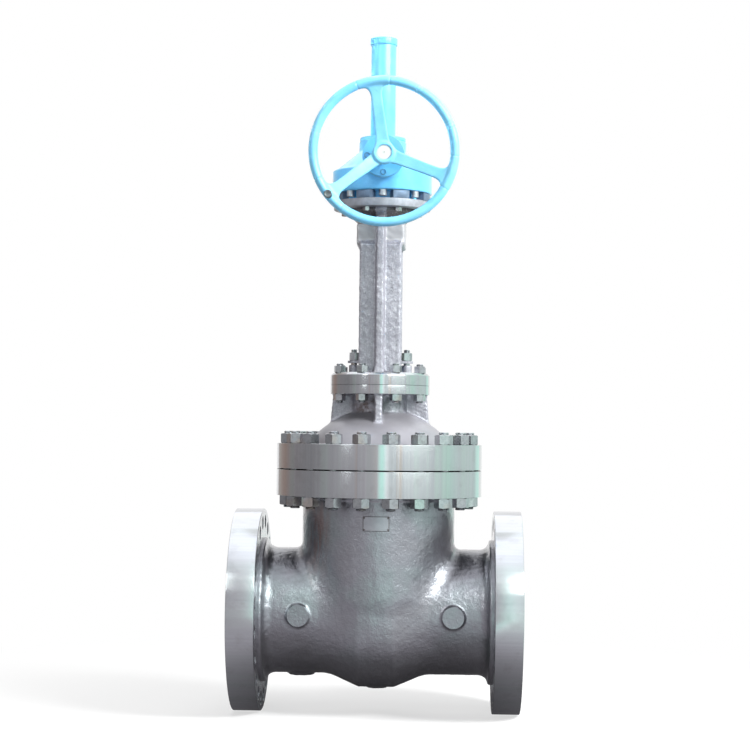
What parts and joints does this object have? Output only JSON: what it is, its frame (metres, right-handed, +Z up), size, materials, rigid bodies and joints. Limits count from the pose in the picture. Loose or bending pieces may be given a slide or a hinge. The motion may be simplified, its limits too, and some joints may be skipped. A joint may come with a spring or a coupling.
{
  "type": "flanged gate valve",
  "caption": "Large flanged gate valve with bolted bonnet, outside screw and yoke, and a bevel gear operator turned by a handwheel.",
  "frame": {"origin": "centre of the inlet flange's raised face", "axes": "+X along the pipe from inlet to outlet, +Z up the stem, -Y towards the handwheel"},
  "size_m": [1.118, 0.8061, 2.6195],
  "materials": {
    "cast_body": "cast steel under a glossy dark grey metallic coat",
    "cast_upper": "rough cast steel under silver grey paint",
    "machined_steel": "turned bright",
    "stem_steel": "ground and threaded",
    "bolting": "dull grey steel",
    "gasket": "spiral wound",
    "packing": "braided graphite",
    "bronze": "turned bronze",
    "blue_paint": "glossy sky blue enamel",
    "plate": "blank plate, coated with the body"
  },
  "bodies": {
    "valve": {"body_casting": "cast_body", "inlet_flange": "machined_steel", "outlet_flange": "machined_steel", "body_flange": "machined_steel", "inlet_seat_ring": "machined_steel", "outlet_seat_ring": "machined_steel", "gate_wedge": "machined_steel", "stem": "stem_steel", "bonnet_gasket": "gasket", "bonnet_flange": "machined_steel", "bonnet_casting": "cast_upper", "joint_studs": "bolting", "joint_upper_nuts": "bolting", "joint_lower_nuts": "bolting", "packing_rings": "packing", "gland_follower": "machined_steel", "gland_flange": "cast_upper", "gland_studs": "bolting", "gland_nuts": "bolting", "yoke_casting": "cast_upper", "yoke_studs": "bolting", "yoke_upper_nuts": "bolting", "yoke_lower_nuts": "bolting", "yoke_sleeve": "bronze", "mounting_blocks": "machined_steel", "block_bolts": "bolting", "housing_screws": "bolting", "gear_housing": "blue_paint", "bearing_cover": "blue_paint", "pinion_housing": "blue_paint", "pinion_cover": "blue_paint", "pinion_cover_screws": "bolting", "stem_cover_tube": "blue_paint", "stem_cover_cap": "blue_paint", "name_plate": "plate"},
    "handwheel": {"input_shaft": "machined_steel", "wheel_spider": "blue_paint", "wheel_rim": "blue_paint", "spinner_socket": "machined_steel"}
  },
  "joints": [
    {"name": "handwheel_turn", "type": "hinge", "parent": "valve", "child": "handwheel", "pos_m": [0.559, 0, 1.735], "axis": [0.0454, -0.999, 0], "continuous": true}
  ]
}
